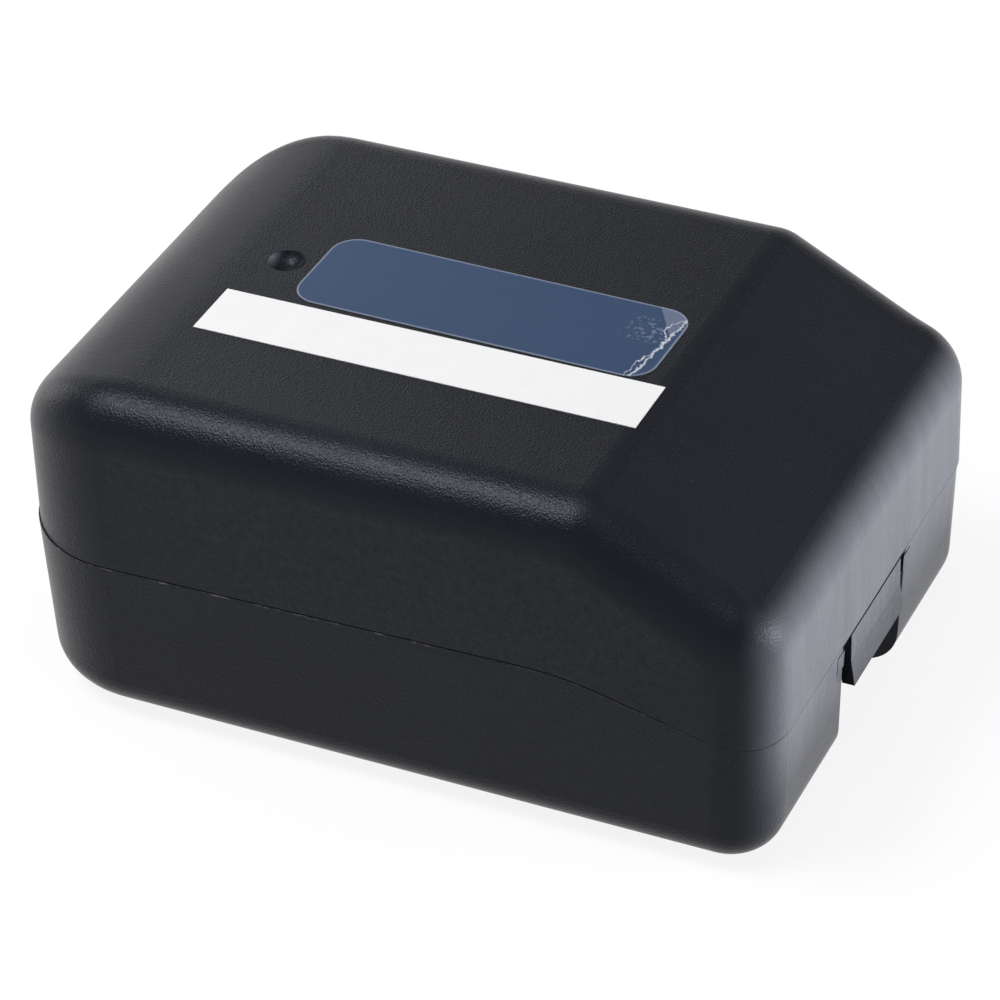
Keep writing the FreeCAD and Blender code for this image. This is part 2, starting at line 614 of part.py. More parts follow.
def catch():
    """The steel strike that the latch hooks under, and its two screws into the cover's nose."""
    wall = "half_length - cover_wall"
    plate = prism("catch_form", [
        ("catch_lip_x", "catch_z"), (f"{wall} - 0.1", "catch_z"), (f"{wall} - 0.1", "catch_top"),
        (f"{wall} - 0.1 - catch_thick", "catch_top"),
        (f"{wall} - 0.1 - catch_thick", "catch_z + catch_thick"),
        ("catch_lip_x", "catch_z + catch_thick"),
    ], "-catch_half", "catch_half")
    holes = [rod(f"catch_clear_{side}", "small_shank + 0.1", "3",
                 (f"{wall} - 2.4", f"{side} catch_screw_y", "catch_screw_z"), ALONG_X) for side in "+-"]
    keep("catch_plate", cut("catch_plate", plate, holes))
    template = screw("catch_screw", "1.9", "small_head", "small_shank - 0.15")
    spots = [(f"{wall} - 0.1 - catch_thick", f"{side} catch_screw_y", "catch_screw_z") for side in "+-"]
    keep("catch_screws", group("catch_screws", template, spots, [FLIPPED_X, FLIPPED_X]))


# ---- deck and rails ---------------------------------------------------------------------------

def deck():
    body = new_body("deck_plate")
    sketch = new_sketch(body, "XY_Plane", "deck_low")
    plan_outline(sketch, "deck_rear", "deck_front", "deck_half", "deck_corner", "deck_corner / 2")
    pad(body, sketch, "deck_thick")
    openings = new_sketch(body, "XY_Plane", "deck_low + deck_thick")
    rectangle(openings, ("slot_rear", "-slot_wide / 2"), ("slot_front", "slot_wide / 2"))
    rectangle(openings, ("bay_rear", "bay_y"), ("bay_front", "deck_half + 1"))
    for x in ("boss_rear", "boss_front"):
        for side in "+-":
            circle(openings, x, f"{side} boss_y", "shank_radius + 0.2")
    for x in ("rail_front + rail_thick / 2", "rail_rear + rail_thick / 2"):
        for side in "+-":
            circle(openings, x, f"{side} rail_screw_y", "small_shank + 0.1")
    for x in ("saddle_screw_front", "saddle_screw_rear"):
        for side in "+-":
            circle(openings, x, f"{side} saddle_screw_y", "small_shank + 0.1")
    for y in ("guide_near + 3", "guide_far - 3"):
        circle(openings, "guide_screw_x", y, "small_shank + 0.1")
    pocket(body, openings, "deck_thick + 1")
    keep("deck_plate", body)
    deck_screw = screw("deck_screw", "9")
    spots = [(x, f"{side} boss_y", "deck_low + deck_thick")
             for x in ("boss_rear", "boss_front") for side in "+-"]
    keep("deck_screws", group("deck_screws", deck_screw, spots))


def rails():
    for name, start in (("front_rail_bracket", "rail_front"), ("rear_rail_bracket", "rail_rear")):
        body = new_body(name)
        sketch = new_sketch(body, "YZ_Plane", start)
        rectangle(sketch, ("-rail_half", "rail_low"), ("rail_half", "deck_low"))
        for side in "+-":
            circle(sketch, f"{side} rod_y", "rod_z", "rod_radius + 0.01")
        pad(body, sketch, "rail_thick")
        tapped = new_sketch(body, "XY_Plane", "deck_low")
        for side in "+-":
            circle(tapped, f"{start} + rail_thick / 2", f"{side} rail_screw_y", "small_shank + 0.05")
        pocket(body, tapped, "6")
        keep(name, body)
    bracket_screw = screw("bracket_screw", "8", "small_head", "small_shank")
    spots = [(f"{x} + rail_thick / 2", f"{side} rail_screw_y", "deck_low + deck_thick")
             for x in ("rail_front", "rail_rear") for side in "+-"]
    keep("bracket_screws", group("bracket_screws", bracket_screw, spots))
    for name, side in (("near_guide_rod", "-"), ("far_guide_rod", "+")):
        keep(name, rod(name, "rod_radius", "rail_front - rail_rear + rail_thick",
                       ("rail_rear", f"{side} rod_y", "rod_z"), ALONG_X))


# ---- blade carriage ---------------------------------------------------------------------------

def carriage():
    block = new_body("carriage_block")
    sketch = new_sketch(block, "YZ_Plane", "-carriage_half")
    rectangle(sketch, ("-carriage_wide", "carriage_low"), ("carriage_wide", "carriage_top"))
    for side in "+-":
        circle(sketch, f"{side} rod_y", "rod_z", "sleeve_radius + 0.01")
    pad(block, sketch, "2 * carriage_half")
    well = new_sketch(block, "XY_Plane", "carriage_top")
    rectangle(well, ("-well_half", "-well_wide"), ("well_half", "well_wide"))
    pocket(block, well, "carriage_top - carriage_low - 1")
    place(block, ("blade_x", "0", "0"))
    upright = prism("carriage_upright", [
        ("blade_x - post_half", "carriage_top - 1"), ("blade_x + post_half", "carriage_top - 1"),
        ("blade_x + post_half", "post_top - 2"), ("blade_x + post_half - 2", "post_top"),
        ("blade_x - post_half + 2", "post_top"), ("blade_x - post_half", "post_top - 2"),
    ], "post_near", "post_far")
    arm = box("carriage_arm", ("blade_x + carriage_half - 0.5", "-arm_half", "arm_low"),
              ("arm_front", "arm_half", "carriage_top"))
    solid = fuse("carriage_solid", [block, upright, arm])
    holes = [
        rod("axle_hole", "small_shank + 0.01", "5",
            ("blade_x", "post_near - 0.5", "fibre_z - blade_radius"), ALONG_Y),
        rod("knob_hole", "small_shank + 0.01", "3", ("knob_x", "0", "carriage_top - 2.5")),
    ]
    keep("blade_carriage", cut("blade_carriage", solid, holes))
    sleeve = turned("slide_bush", [("rod_radius + rod_air", "0"), ("sleeve_radius", "0"),
                                   ("sleeve_radius", "sleeve_length"),
                                   ("rod_radius + rod_air", "sleeve_length")])
    spots = [(f"blade_x + {x}", f"{side} rod_y", "rod_z")
             for x in ("carriage_half - sleeve_length", "0 - carriage_half") for side in "+-"]
    keep("slide_bushes", group("slide_bushes", sleeve, spots, [ALONG_X] * 4))


def knob():
    body = new_body("knob_grip")
    sketch = new_sketch(body, "XZ_Plane", "-knob_wide")
    polygon(sketch, [
        ("knob_x - knob_half", "carriage_top"), ("knob_x + knob_half", "carriage_top"),
        ("knob_x + knob_half", "deck_low + deck_thick + 5"), ("knob_x + knob_half - 0.8", "knob_top - 0.8"),
        ("knob_x + knob_half - 1.6", "knob_top"), ("knob_x - knob_half + 1.6", "knob_top"),
        ("knob_x - knob_half + 0.8", "knob_top - 0.8"), ("knob_x - knob_half", "deck_low + deck_thick + 5"),
    ])
    pad(body, sketch, "2 * knob_wide")
    ribs = new_sketch(body, "XZ_Plane", "-knob_wide - 1")
    for step in range(3):
        height = f"knob_top - 2.2 - {1.6 * step}"
        rectangle(ribs, ("knob_x + knob_half - 1.1", f"{height} - 0.7"), ("knob_x + knob_half + 1", height))
    pocket(body, ribs, "2 * knob_wide + 2", backwards=True)
    bore = new_sketch(body, "XY_Plane", "knob_top")
    circle(bore, "knob_x", "0", "small_head + 0.1")
    pocket(body, bore, "knob_top - carriage_top - 3")
    shank = new_sketch(body, "XY_Plane", "carriage_top + 4")
    circle(shank, "knob_x", "0", "small_shank + 0.1")
    pocket(body, shank, "5")
    keep("slide_knob", body)
    fastener = screw("knob_screw", "5.2", "small_head", "small_shank")
    keep("knob_screw", place(fastener, ("knob_x", "0", "carriage_top + 3")))


def blade():
    centre = ("blade_x", "0", "fibre_z - blade_radius")
    disc = turned("cleaving_blade", [
        ("bush_radius + 0.03", "-blade_thick / 2"), ("blade_radius - blade_bevel", "-blade_thick / 2"),
        ("blade_radius", "-0.05"), ("blade_radius", "0.05"),
        ("blade_radius - blade_bevel", "blade_thick / 2"), ("bush_radius + 0.03", "blade_thick / 2"),
    ])
    keep("cleaving_blade", place(disc, centre, ALONG_Y))
    bush = turned("blade_bush", [
        ("small_shank + 0.03", "-blade_thick / 2"), ("bush_radius", "-blade_thick / 2"),
        ("bush_radius", "blade_thick / 2"), ("bush_radius + 1", "blade_thick / 2"),
        ("bush_radius + 1", "post_near"), ("small_shank + 0.03", "post_near"),
    ])
    keep("blade_bush", place(bush, centre, ALONG_Y))
    washer = turned("blade_washer", [
        ("small_shank + 0.03", "-blade_thick / 2 - 0.4"), ("bush_radius + 0.8", "-blade_thick / 2 - 0.4"),
        ("bush_radius + 0.8", "-blade_thick / 2"), ("small_shank + 0.03", "-blade_thick / 2"),
    ])
    keep("blade_washer", place(washer, centre, ALONG_Y))
    fastener = screw("blade_screw", "5.5", "small_head", "small_shank")
    keep("blade_screw", place(fastener, ("blade_x", "-blade_thick / 2 - 0.4", "fibre_z - blade_radius"),
                              FLIPPED_Y))


def carriage_spring():
    start = "rail_rear + rail_thick"
    keep("carriage_spring", coil("carriage_spring", "spring_coil", "spring_wire",
                                 f"blade_x - carriage_half - ({start}) - 0.1", "spring_turns",
                                 (f"{start} + 0.3", "rod_y", "rod_z"), ALONG_X))


# ---- saddles, clamp arm and anvil -------------------------------------------------------------

def saddle(name, side):
    """Half of the fibre bed, standing beside the carriage slot and reaching over it to the blade gap."""
    deck_top = "deck_low + deck_thick"
    body = new_body(name + "_form")
    sketch = new_sketch(body, "YZ_Plane", "saddle_rear")
    polygon(sketch, [(f"{side} saddle_outer", deck_top), (f"{side} saddle_step", deck_top),
                     (f"{side} saddle_step", "saddle_under"), (f"{side} saddle_inner", "saddle_under"),
                     (f"{side} saddle_inner", "saddle_top"), (f"{side} saddle_outer", "saddle_top")])
    pad(body, sketch, "saddle_front - saddle_rear")
    low, high = ("ear_inner", "saddle_outer") if side == "+" else ("-saddle_outer", "-ear_inner")
    ear = fuse(name + "_ear", [
        rod(name + "_ear_top", "ear_radius", "saddle_outer - ear_inner", ("ear_x", low, "ear_z"), ALONG_Y),
        box(name + "_ear_foot", ("saddle_rear", low, "saddle_top - 1"),
            ("ear_x + ear_radius", high, "ear_z")),
    ])
    solid = fuse(name + "_solid", [body, ear])
    near, far = ("pad_near", "pad_far") if side == "+" else ("-pad_far", "-pad_near")
    tools = [
        box(name + "_seat", ("fibre_x - pad_half", near, "pad_seat"),
            ("fibre_x + pad_half", far, "saddle_top + 2")),
        rod(name + "_pin_hole", "clamp_pin + 0.01", "saddle_outer",
            ("ear_x", f"{low} - 2", "ear_z"), ALONG_Y),
        rod(name + "_strike_seat", "strike_radius", "3", ("strike_x", f"{side} strike_y", "pad_seat")),
    ]
    for index, x in enumerate(("saddle_screw_front", "saddle_screw_rear")):
        tools.append(rod(f"{name}_hole_{index}", "small_shank + 0.1", "12",
                         (x, f"{side} saddle_screw_y", "deck_low")))
        tools.append(rod(f"{name}_sink_{index}", "small_head + 0.1", "5",
                         (x, f"{side} saddle_screw_y", "saddle_top - head_tall")))
    return keep(name, cut(name, solid, tools))


def fibre_bed():
    saddle("near_saddle", "-")
    saddle("far_saddle", "+")
    fastener = screw("saddle_screw", "8", "small_head", "small_shank")
    spots = [(x, f"{side} saddle_screw_y", "saddle_top - head_tall")
             for x in ("saddle_screw_front", "saddle_screw_rear") for side in "+-"]
    keep("saddle_screws", group("saddle_screws", fastener, spots))
    for name, near in (("near_lower_pad", "-pad_far"), ("far_lower_pad", "pad_near")):
        keep(name, box(name, ("fibre_x - pad_half", near, "pad_seat"),
                       ("fibre_x + pad_half", f"{near} + pad_far - pad_near", "fibre_z")))
    strike = turned("strike", [("0", "0"), ("strike_radius", "0"),
                               ("strike_radius", "strike_top - pad_seat"),
                               ("0", "strike_top - pad_seat")])
    keep("strike_pins", group("strike_pins", strike, [("strike_x", f"{side} strike_y", "pad_seat")
                                                      for side in "+-"]))


def clamp_arm():
    plate = prism("clamp_plate", [
        ("ear_x", "clamp_low"), ("clamp_tip - 1", "clamp_low"), ("clamp_tip", "clamp_low + 1"),
        ("clamp_tip", "clamp_top - 1.2"), ("clamp_tip - 1.6", "clamp_top"), ("ear_x", "clamp_top"),
    ], "-clamp_half", "clamp_half")
    barrel = rod("clamp_barrel", "barrel_radius", "2 * clamp_half",
                 ("ear_x", "-clamp_half", "ear_z"), ALONG_Y)
    solid = fuse("clamp_solid", [plate, barrel])
    tools = [
        rod("clamp_bore", "clamp_pin + 0.05", "2 * clamp_half + 2",
            ("ear_x", "-clamp_half - 1", "ear_z"), ALONG_Y),
        rod("anvil_bore", "anvil_radius + 0.05", "8", ("fibre_x", "0", "clamp_low - 1")),
        rod("anvil_well", "well_radius", "4", ("fibre_x", "0", "well_floor")),
    ]
    for near in ("-pad_far", "pad_near"):
        tools.append(box(f"upper_seat_{near}", ("fibre_x - pad_half", near, "clamp_low - 1"),
                         ("fibre_x + pad_half", f"{near} + pad_far - pad_near", "upper_pad_top")))
    for side in "+-":
        tools.append(rod(f"magnet_seat_{side}", "magnet_radius", "magnet_top - clamp_low + 1",
                         ("strike_x", f"{side} strike_y", "clamp_low - 1")))
    keep("clamp_arm", cut("clamp_arm", solid, tools))
    keep("clamp_pin", rod("clamp_pin", "clamp_pin", "2 * saddle_outer - 0.4",
                          ("ear_x", "-saddle_outer + 0.2", "ear_z"), ALONG_Y))
    for name, near in (("near_upper_pad", "-pad_far"), ("far_upper_pad", "pad_near")):
        keep(name, box(name, ("fibre_x - pad_half", near, "upper_pad_low"),
                       ("fibre_x + pad_half", f"{near} + pad_far - pad_near", "upper_pad_top")))
    magnet = turned("magnet", [("0", "0"), ("magnet_radius", "0"),
                               ("magnet_radius", "magnet_top - magnet_low"),
                               ("0", "magnet_top - magnet_low")])
    keep("clamp_magnets", group("clamp_magnets", magnet, [("strike_x", f"{side} strike_y", "magnet_low")
                                                          for side in "+-"]))


def anvil():
    stem = turned("anvil_stem", [
        ("0", "anvil_foot_top"), ("anvil_radius", "anvil_foot_top"), ("anvil_radius", "button_low"),
        ("button_radius", "button_low"), ("button_radius", "button_top - 0.5"),
        ("button_radius - 0.5", "button_top"), ("0", "button_top"),
    ])
    keep("anvil_button", place(stem, ("fibre_x", "0", "0")))
    keep("anvil_foot", box("anvil_foot", ("fibre_x - anvil_foot_x", "-anvil_foot_y", "anvil_low"),
                           ("fibre_x + anvil_foot_x", "anvil_foot_y", "anvil_foot_top")))
    keep("anvil_spring", coil("anvil_spring", "2.45", "0.2", "button_low - well_floor - 0.1", "4",
                              ("fibre_x", "0", "well_floor + 0.25")))


# ---- fibre guide and its lid ------------------------------------------------------------------

def fibre_guide():
    deck_top = "deck_low + deck_thick"
    body = new_body("guide_block")
    sketch = new_sketch(body, "XZ_Plane", "-guide_far")
    polygon(sketch, [
        ("guide_rear", deck_top), ("guide_front", deck_top), ("guide_front", "fibre_z"),
        ("fibre_x + groove_wide / 2", "fibre_z"), ("fibre_x", "fibre_z - groove_deep"),
        ("fibre_x - groove_wide / 2", "fibre_z"), ("guide_rear", "fibre_z"),
    ])
    pad(body, sketch, "guide_far - guide_near")
    ears = []
    for index, start in enumerate(("guide_near", "guide_far - lid_ear")):
        ears.append(rod(f"lid_ear_{index}", "lid_ear_radius", "lid_ear",
                        ("lid_ear_x", start, "lid_ear_z"), ALONG_Y))
        ears.append(box(f"lid_ear_foot_{index}", ("lid_ear_x - lid_ear_radius", start, "fibre_z - 1"),
                        ("lid_ear_x + lid_ear_radius", f"{start} + lid_ear", "lid_ear_z")))
    solid = fuse("guide_solid", [body] + ears)
    tools = [rod("lid_pin_hole", "lid_pin + 0.01", "guide_far - guide_near + 2",
                 ("lid_ear_x", "guide_near - 1", "lid_ear_z"), ALONG_Y)]
    for index, y in enumerate(("guide_near + 3", "guide_far - 3")):
        tools.append(rod(f"guide_thread_{index}", "small_shank + 0.1", "6", ("guide_screw_x", y, deck_top)))
    keep("fibre_guide", cut("fibre_guide", solid, tools))
    fastener = screw("guide_screw", "8", "small_head", "small_shank")
    turns = [Rotation(Vector(1, 0, 0), 180)] * 2
    spots = [("guide_screw_x", y, "deck_low") for y in ("guide_near + 3", "guide_far - 3")]
    keep("guide_screws", group("guide_screws", fastener, spots, turns))
    keep("length_scale", box("length_scale", ("scale_x", "guide_near + 0.5", "fibre_z"),
                             ("scale_x + scale_wide", "guide_far - 0.5", "fibre_z + scale_thick")))


def fibre_lid():
    plate = prism("lid_plate", [
        ("lid_ear_x", "lid_low"), ("lid_tip - 0.6", "lid_low"), ("lid_tip", "lid_low + 0.6"),
        ("lid_tip", "lid_top - 0.6"), ("lid_tip - 0.6", "lid_top"),
        ("lid_ear_x", "lid_ear_z + lid_ear_radius"),
    ], "lid_near", "lid_far")
    barrel = rod("lid_barrel", "lid_ear_radius", "lid_far - lid_near",
                 ("lid_ear_x", "lid_near", "lid_ear_z"), ALONG_Y)
    bore = rod("lid_bore", "lid_pin + 0.05", "lid_far - lid_near + 2",
               ("lid_ear_x", "lid_near - 1", "lid_ear_z"),
               ALONG_Y)
    keep("fibre_lid", cut("fibre_lid", fuse("lid_solid", [plate, barrel]), [bore]))
    keep("fibre_lid_pin", rod("fibre_lid_pin", "lid_pin", "guide_far - guide_near - 0.4",
                              ("lid_ear_x", "guide_near + 0.2", "lid_ear_z"), ALONG_Y))


# ---- scrap bin --------------------------------------------------------------------------------

def scrap_bin():
    outer = box("bin_outer", ("bin_rear", "bin_near", "bin_low"), ("bin_front", "bin_far", "bin_top"))
    lugs = [box(f"bin_lug_{index}", (low, "bin_near", "deck_low + deck_thick"),
                (high, "bin_far - 1", "deck_low + deck_thick + bin_lug_thick"))
            for index, (low, high) in enumerate((("bin_rear - bin_lug", "bin_rear + 0.2"),
                                                 ("bin_front - 0.2", "bin_front + bin_lug")))]
    ears = []
    for index, start in enumerate(("bin_rear", "bin_front - 3")):
        ears.append(rod(f"bin_ear_{index}", "bin_hinge_radius", "3",
                        (start, "bin_hinge_y", "bin_hinge_z"), ALONG_X))
        ears.append(box(f"bin_ear_foot_{index}", (start, "bin_hinge_y - bin_hinge_radius", "bin_top - 1"),
                        (f"{start} + 3", "bin_hinge_y + 0.1", "bin_hinge_z")))
    solid = fuse("bin_solid", [outer] + lugs + ears)
    tools = [
        box("bin_hollow", ("bin_rear + bin_wall", "bin_near + bin_wall", "bin_low + bin_wall"),
            ("bin_front - bin_wall", "bin_far - bin_wall", "bin_top + 5")),
        rod("bin_pin_hole", "bin_pin + 0.01", "bin_front - bin_rear + 2",
            ("bin_rear - 1", "bin_hinge_y", "bin_hinge_z"),
            ALONG_X),
    ]
    keep("scrap_bin", cut("scrap_bin", solid, tools))
    low, high = "bin_rear + 3.2", "bin_front - 3.2"
    plate = box("bin_lid_plate", (low, "bin_near", "bin_top + bin_lid_gap"),
                (high, "bin_hinge_y", "bin_top + bin_lid_gap + bin_lid_thick"))
    barrel = rod("bin_lid_barrel", "bin_hinge_radius - 0.2", f"{high} - ({low})",
                 (low, "bin_hinge_y", "bin_hinge_z"),
                 ALONG_X)
    bore = rod("bin_lid_bore", "bin_pin + 0.05", "bin_front - bin_rear",
               ("bin_rear", "bin_hinge_y", "bin_hinge_z"),
               ALONG_X)
    keep("scrap_bin_lid", cut("scrap_bin_lid", fuse("bin_lid_solid", [plate, barrel]), [bore]))
    keep("scrap_lid_pin", rod("scrap_lid_pin", "bin_pin", "bin_front - bin_rear - 0.4",
                              ("bin_rear + 0.2", "bin_hinge_y", "bin_hinge_z"), ALONG_X))


def check_and_export():
    """Stop on any failed object or bad shape, then write one file for each sub-part."""
    doc.recompute()
    for obj in doc.Objects:
        if "Invalid" in obj.State or "Error" in obj.State:
            raise RuntimeError(f"{obj.Name} failed: {obj.State}")
    os.makedirs("parts", exist_ok=True)
    for obj in pieces:
        shape = obj.Shape
        if shape.isNull() or not shape.isValid() or not shape.Solids:
            raise RuntimeError(f"{obj.Label} has no valid solid")
        shape.exportStep(f"parts/{obj.Label}.step")
        size = shape.BoundBox
        print(f"{obj.Label:20s} solids {len(shape.Solids):2d}  volume {shape.Volume:9.1f}  "
              f"x {size.XMin:6.1f} {size.XMax:6.1f}  y {size.YMin:6.1f} {size.YMax:6.1f}  "
              f"z {size.ZMin:6.1f} {size.ZMax:6.1f}")


fill_sheet()
base_housing()
cover_housing()
labels()
feet()
hinge_pin()
latch()
pin_retainers()
catch()
deck()
rails()
carriage()
knob()
blade()
carriage_spring()
fibre_bed()
clamp_arm()
anvil()
fibre_guide()
fibre_lid()
scrap_bin()
check_and_export()
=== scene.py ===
"""Looks for the pocket fibre cleaver: finishes, labels, floor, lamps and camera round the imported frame."""

import json
import math

import bpy
from mathutils import Matrix, Vector

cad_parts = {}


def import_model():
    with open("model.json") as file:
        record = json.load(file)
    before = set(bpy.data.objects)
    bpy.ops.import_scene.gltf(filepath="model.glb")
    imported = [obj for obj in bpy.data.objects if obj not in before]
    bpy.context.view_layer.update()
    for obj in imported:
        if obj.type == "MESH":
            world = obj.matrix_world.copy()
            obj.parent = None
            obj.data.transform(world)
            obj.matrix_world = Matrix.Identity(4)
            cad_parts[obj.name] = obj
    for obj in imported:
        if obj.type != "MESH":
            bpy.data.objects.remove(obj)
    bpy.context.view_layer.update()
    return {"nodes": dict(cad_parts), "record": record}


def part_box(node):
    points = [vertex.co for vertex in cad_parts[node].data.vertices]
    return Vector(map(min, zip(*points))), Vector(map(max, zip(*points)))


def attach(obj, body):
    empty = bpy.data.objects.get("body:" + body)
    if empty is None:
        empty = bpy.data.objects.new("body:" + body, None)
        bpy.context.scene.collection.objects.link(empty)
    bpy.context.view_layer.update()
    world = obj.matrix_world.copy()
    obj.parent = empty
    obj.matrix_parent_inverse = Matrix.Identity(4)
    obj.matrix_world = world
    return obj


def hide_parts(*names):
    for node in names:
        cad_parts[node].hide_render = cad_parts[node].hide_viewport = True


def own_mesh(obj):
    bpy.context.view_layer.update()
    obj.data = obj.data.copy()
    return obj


MM = 0.001

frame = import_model()
nodes = frame["nodes"]
bpy.ops.object.select_all(action="DESELECT")


# ---- node helpers ----------------------------------------------------------------------------

def wire(tree, output, socket):
    """Links an output to a socket."""
    tree.links.new(output, socket)


def new_node(tree, kind, **settings):
    """A shader node with its settings, such as its operation or feature."""
    made = tree.nodes.new(kind)
    for name, value in settings.items():
        setattr(made, name, value)
    return made


def calculate(tree, operation, first, second=0.0, third=None):
    """A Math node on sockets or plain numbers, and the socket that it puts out."""
    made = new_node(tree, "ShaderNodeMath", operation=operation)
    for index, value in enumerate((first, second, third)):
        if value is None:
            continue
        if isinstance(value, (int, float)):
            made.inputs[index].default_value = value
        else:
            wire(tree, value, made.inputs[index])
    return made.outputs[0]


def span(tree, value, low, high, to_low=0.0, to_high=1.0):
    """Maps low..high to to_low..to_high, clamped."""
    made = new_node(tree, "ShaderNodeMapRange")
    wire(tree, value, made.inputs["Value"])
    for name, number in (("From Min", low), ("From Max", high), ("To Min", to_low), ("To Max", to_high)):
        made.inputs[name].default_value = number
    return made.outputs["Result"]


def noise(tree, vector, scale, detail=2.0, roughness=0.5):
    """Cloudy noise, with its scale in features per metre."""
    made = new_node(tree, "ShaderNodeTexNoise")
    made.inputs["Scale"].default_value = scale
    made.inputs["Detail"].default_value = detail
    made.inputs["Roughness"].default_value = roughness
    wire(tree, vector, made.inputs["Vector"])
    return made.outputs["Fac"]


def stretched(tree, vector, scale):
    """Coordinates multiplied along each axis, so that a pattern on them draws out into streaks."""
    made = new_node(tree, "ShaderNodeMapping")
    made.inputs["Scale"].default_value = scale
    wire(tree, vector, made.inputs["Vector"])
    return made.outputs["Vector"]


def mixed(tree, factor, first, second):
    """The first colour where the factor is zero, and the second where it is one."""
    made = new_node(tree, "ShaderNodeMix", data_type="RGBA")
    wire(tree, factor, made.inputs["Factor"])
    for name, value in (("A", first), ("B", second)):
        socket = next(s for s in made.inputs if s.name == name and s.type == "RGBA")
        if isinstance(value, tuple):
            socket.default_value = (*value, 1.0)
        else:
            wire(tree, value, socket)
    return next(s for s in made.outputs if s.type == "RGBA")


def new_group(name, inputs, outputs):
    """An empty node group with its sockets made, and its two end nodes."""
    group = bpy.data.node_groups.new(name, "ShaderNodeTree")
    for label, kind, default in inputs:
        made = group.interface.new_socket(label, in_out="INPUT", socket_type=kind)
        if default is not None:
            made.default_value = default
    for label, kind in outputs:
        group.interface.new_socket(label, in_out="OUTPUT", socket_type=kind)
    return group, group.nodes.new("NodeGroupInput"), group.nodes.new("NodeGroupOutput")


# ---- shared effects --------------------------------------------------------------------------

def build_grain():
    """The spark-eroded texture of a moulding: small rounded bumps on a slow unevenness."""
    group, into, out = new_group("moulded_grain", [
        ("Vector", "NodeSocketVector", None), ("Bumps per metre", "NodeSocketFloat", 2300.0),
    ], [("Height", "NodeSocketFloat")])
    cells = new_node(group, "ShaderNodeTexVoronoi", feature="SMOOTH_F1")
    cells.inputs["Smoothness"].default_value = 0.7
    wire(group, into.outputs["Vector"], cells.inputs["Vector"])
    wire(group, into.outputs["Bumps per metre"], cells.inputs["Scale"])
    fine = noise(group, into.outputs["Vector"], 5200.0, 3.0, 0.6)
    slow = noise(group, into.outputs["Vector"], 420.0, 2.0)
    sum_fine = calculate(group, "MULTIPLY_ADD", fine, 0.55, cells.outputs["Distance"])
    wire(group, calculate(group, "MULTIPLY_ADD", slow, 0.35, sum_fine), out.inputs["Height"])
    return group


def build_dust():
    """Sparse pale flecks of lint and dust, and a soft mask of hand marks."""
    group, into, out = new_group("dust_and_marks", [
        ("Vector", "NodeSocketVector", None), ("Flecks per metre", "NodeSocketFloat", 620.0),
        ("Fleck size", "NodeSocketFloat", 0.050),
    ], [("Flecks", "NodeSocketFloat"), ("Marks", "NodeSocketFloat")])
    vector = into.outputs["Vector"]
    cells = new_node(group, "ShaderNodeTexVoronoi", feature="F1")
    wire(group, vector, cells.inputs["Vector"])
    wire(group, into.outputs["Flecks per metre"], cells.inputs["Scale"])
    near = calculate(group, "LESS_THAN", cells.outputs["Distance"], into.outputs["Fleck size"])
    parts = new_node(group, "ShaderNodeSeparateColor")
    wire(group, cells.outputs["Color"], parts.inputs["Color"])
    chosen = calculate(group, "MULTIPLY", calculate(group, "GREATER_THAN", parts.outputs[0], 0.70),
                       span(group, parts.outputs[1], 0.0, 1.0, 0.15, 1.0))
    wire(group, calculate(group, "MULTIPLY", near, chosen), out.inputs["Flecks"])
    wide = span(group, noise(group, vector, 62.0, 4.0, 0.62), 0.46, 0.72)
    broken = span(group, noise(group, vector, 540.0, 3.0, 0.6), 0.35, 0.75)
    wire(group, calculate(group, "MULTIPLY", wide, broken), out.inputs["Marks"])
    return group


def build_brushed():
    """Fine parallel grinding lines along X."""
    group, into, out = new_group("grinding_lines", [("Vector", "NodeSocketVector", None)],
                                 [("Lines", "NodeSocketFloat")])
    along_x = stretched(group, into.outputs["Vector"], (60.0, 4200.0, 4200.0))
    wire(group, noise(group, along_x, 1.0, 3.0, 0.6), out.inputs["Lines"])
    return group


def build_edge_wear_and_highlight():
    """Wear and a painted highlight on convex edges, broken up so that they look rubbed and not drawn."""
    group, into, out = new_group("edge_wear_and_highlight", [
        ("Vector", "NodeSocketVector", None), ("Edge", "NodeSocketFloat", 0.5),
    ], [("Worn and highlit", "NodeSocketFloat")])
    broken = noise(group, into.outputs["Vector"], 900.0, 3.0, 0.6)
    edge = span(group, into.outputs["Edge"], 0.54, 0.62)
    wire(group, calculate(group, "MULTIPLY", edge, span(group, broken, 0.35, 0.7)), out.inputs["Worn and highlit"])
    return group


GRAIN, DUST, BRUSHED, EDGE_WEAR_AND_HIGHLIGHT = build_grain(), build_dust(), build_brushed(), build_edge_wear_and_highlight()


def use(tree, group, **inputs):
    """Places a group in a tree, with an input's name written with underscores for its spaces."""
    made = new_node(tree, "ShaderNodeGroup")
    made.node_tree = group
    for name, value in inputs.items():
        socket = made.inputs[name.replace("_", " ")]
        if isinstance(value, (int, float)):
            socket.default_value = value
        else:
            wire(tree, value, socket)
    return made


# ---- materials -------------------------------------------------------------------------------

def start(name):
    """A new material, its tree, its Principled shader and the position on the piece."""
    material = bpy.data.materials.new(name)
    material.use_nodes = True
    tree = material.node_tree
    place = new_node(tree, "ShaderNodeTexCoord").outputs["Object"]
    return material, tree, tree.nodes["Principled BSDF"], place


def bump(tree, shader, height, depth):
    """Relief of the given depth in metres."""
    made = new_node(tree, "ShaderNodeBump")
    made.inputs["Distance"].default_value = depth
    made.inputs["Strength"].default_value = 1.0
    wire(tree, height, made.inputs["Height"])
    wire(tree, made.outputs["Normal"], shader.inputs["Normal"])


